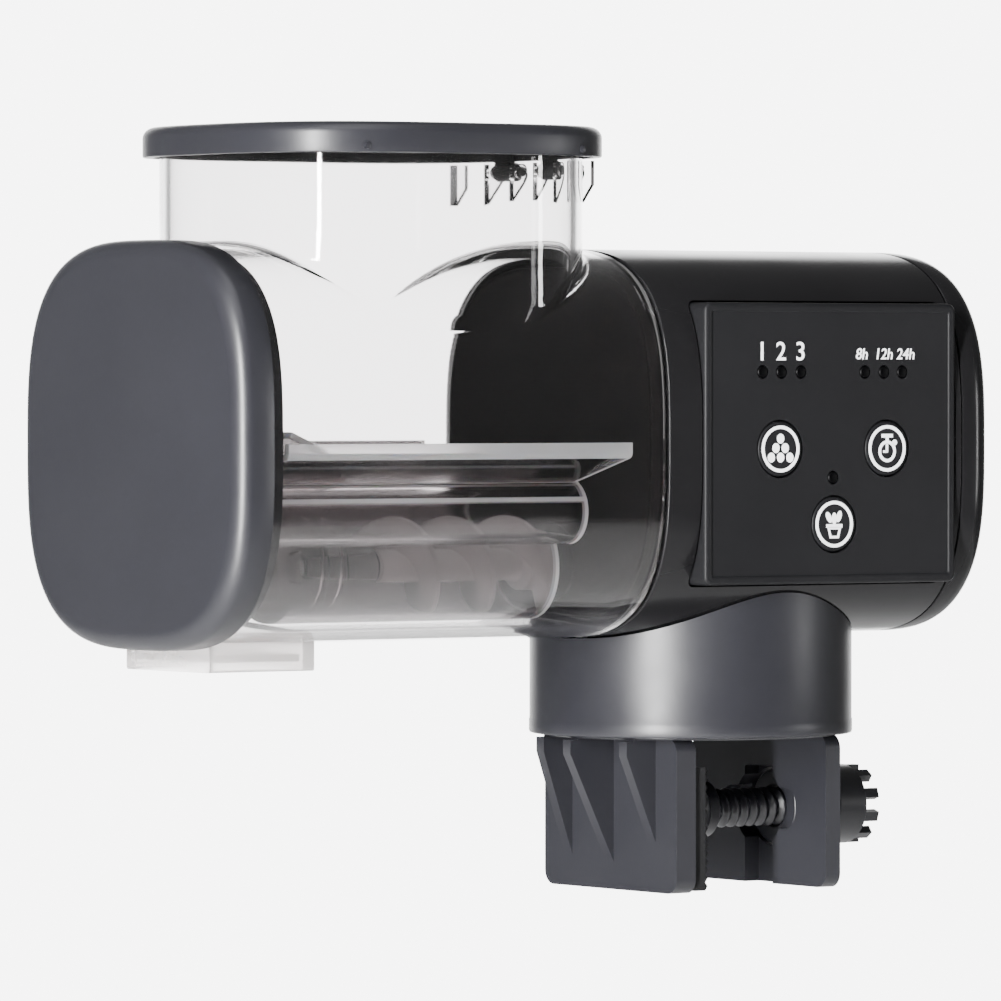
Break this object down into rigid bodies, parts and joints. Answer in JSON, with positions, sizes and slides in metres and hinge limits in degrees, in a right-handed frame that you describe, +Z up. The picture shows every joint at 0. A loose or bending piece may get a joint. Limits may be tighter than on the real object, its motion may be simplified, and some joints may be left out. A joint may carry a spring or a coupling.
{
  "type": "automatic fish feeder",
  "caption": "Clamp-on auger fish feeder with a clear square food container, hinged lid, control panel and swivel rim clamp.",
  "frame": {"origin": "rim seat: underside of the clamp roof on the swivel axis, where the tank's rim touches", "axes": "+X along the barrel from front cap to battery cover, -Y out of the control panel, +Z up"},
  "size_m": [0.1566, 0.0676, 0.1296],
  "materials": {
    "charcoal_plastic": "satin, fine grain",
    "gloss_black": "high gloss",
    "panel_black": "satin",
    "clear_plastic": "clear, polished",
    "smoked_plastic": "smoked, polished",
    "milky_plastic": "translucent, satin",
    "rubber": "matt",
    "steel": "bright",
    "brass": "machined",
    "nylon": "natural nylon",
    "circuit_board": "solder mask",
    "cell_wrap": "printed sleeve, plain"
  },
  "bodies": {
    "bracket": {"clamp_bracket": "charcoal_plastic", "jaw_pad": "rubber", "thread_insert": "charcoal_plastic", "friction_ring": "rubber", "swivel_retainer": "steel", "swivel_screw": "steel"},
    "head": {"amount_switch": "panel_black", "auger_bearing": "clear_plastic", "battery_tray": "panel_black", "bulkhead": "panel_black", "circuit_board": "circuit_board", "collar_screw_1": "steel", "collar_screw_2": "steel", "collar_screw_3": "steel", "collar_screw_4": "steel", "control_panel": "panel_black", "controller_chip": "panel_black", "drive_motor": "steel", "feed_switch": "panel_black", "first_gear_axle": "steel", "food_container": "clear_plastic", "front_cap": "charcoal_plastic", "funnel_front": "clear_plastic", "gearbox_plate": "nylon", "hinge_pin_far": "steel", "hinge_pin_near": "steel", "hopper_floor": "clear_plastic", "housing_shell": "gloss_black", "interval_switch": "panel_black", "led_light_guide": "smoked_plastic", "lower_battery": "cell_wrap", "lower_contact": "steel", "second_gear_axle": "steel", "swivel_collar": "charcoal_plastic", "upper_battery": "cell_wrap", "upper_contact": "steel"},
    "lid": {"hopper_lid": "charcoal_plastic", "lid_seal": "rubber"},
    "auger_drive": {"feed_auger": "milky_plastic", "drive_shaft": "steel", "output_gear": "nylon"},
    "second_wheel": {"second_gear": "nylon"},
    "first_wheel": {"first_gear": "nylon"},
    "motor_rotor": {"motor_pinion": "brass"},
    "outlet_gate": {"outlet_gate": "clear_plastic"},
    "amount_button": {"amount_button": "panel_black"},
    "interval_button": {"interval_button": "panel_black"},
    "feed_button": {"feed_button": "panel_black"},
    "battery_cover": {"battery_cover": "gloss_black"},
    "press_foot": {"press_disc": "charcoal_plastic", "press_pad": "rubber"},
    "clamp_screw": {"clamp_screw": "charcoal_plastic", "clamp_knob": "charcoal_plastic", "knob_screw": "steel"}
  },
  "joints": [
    {"name": "swivel", "type": "hinge", "parent": "bracket", "child": "head", "pos_m": [0, 0, 0], "axis": [0, 0, 1], "range_deg": [-180, 180]},
    {"name": "lid_hinge", "type": "hinge", "parent": "head", "child": "lid", "pos_m": [-0.0327, 0, 0.0966], "axis": [0, 1, 0], "range_deg": [0, 110]},
    {"name": "auger_spin", "type": "hinge", "parent": "head", "child": "auger_drive", "pos_m": [-0.0288, 0, 0.0294], "axis": [1, 0, 0], "continuous": true},
    {"name": "second_wheel_spin", "type": "hinge", "parent": "head", "child": "second_wheel", "pos_m": [-0.0288, 0, 0.0404], "axis": [1, 0, 0], "continuous": true},
    {"name": "first_wheel_spin", "type": "hinge", "parent": "head", "child": "first_wheel", "pos_m": [-0.0288, 0, 0.0529], "axis": [1, 0, 0], "continuous": true},
    {"name": "motor_spin", "type": "hinge", "parent": "head", "child": "motor_rotor", "pos_m": [-0.0288, 0, 0.0654], "axis": [1, 0, 0], "continuous": true},
    {"name": "gate_slide", "type": "slide", "parent": "head", "child": "outlet_gate", "axis": [0, 1, 0], "range_m": [0, 0.014]},
    {"name": "amount_button_press", "type": "slide", "parent": "head", "child": "amount_button", "axis": [0, 1, 0], "range_m": [0, 0.0006], "stiffness_N_per_m": 300, "springref_m": -0.0015},
    {"name": "interval_button_press", "type": "slide", "parent": "head", "child": "interval_button", "axis": [0, 1, 0], "range_m": [0, 0.0006], "stiffness_N_per_m": 300, "springref_m": -0.0015},
    {"name": "feed_button_press", "type": "slide", "parent": "head", "child": "feed_button", "axis": [0, 1, 0], "range_m": [0, 0.0006], "stiffness_N_per_m": 300, "springref_m": -0.0015},
    {"name": "cover_slide", "type": "slide", "parent": "head", "child": "battery_cover", "axis": [1, 0, 0], "range_m": [0, 0.03]},
    {"name": "press_slide", "type": "slide", "parent": "bracket", "child": "press_foot", "axis": [1, 0, 0], "range_m": [-0.0048, 0.01]},
    {"name": "screw_turn", "type": "hinge", "parent": "press_foot", "child": "clamp_screw", "pos_m": [0, 0, -0.0129], "axis": [1, 0, 0], "range_deg": [-870, 1810]}
  ],
  "couplings": [
    {"joint": "second_wheel_spin", "follows": "auger_spin", "ratio": -3.4},
    {"joint": "first_wheel_spin", "follows": "auger_spin", "ratio": 13.6},
    {"joint": "motor_spin", "follows": "auger_spin", "ratio": -54.4},
    {"joint": "screw_turn", "follows": "press_slide", "rad_per_m": 3141.6}
  ]
}
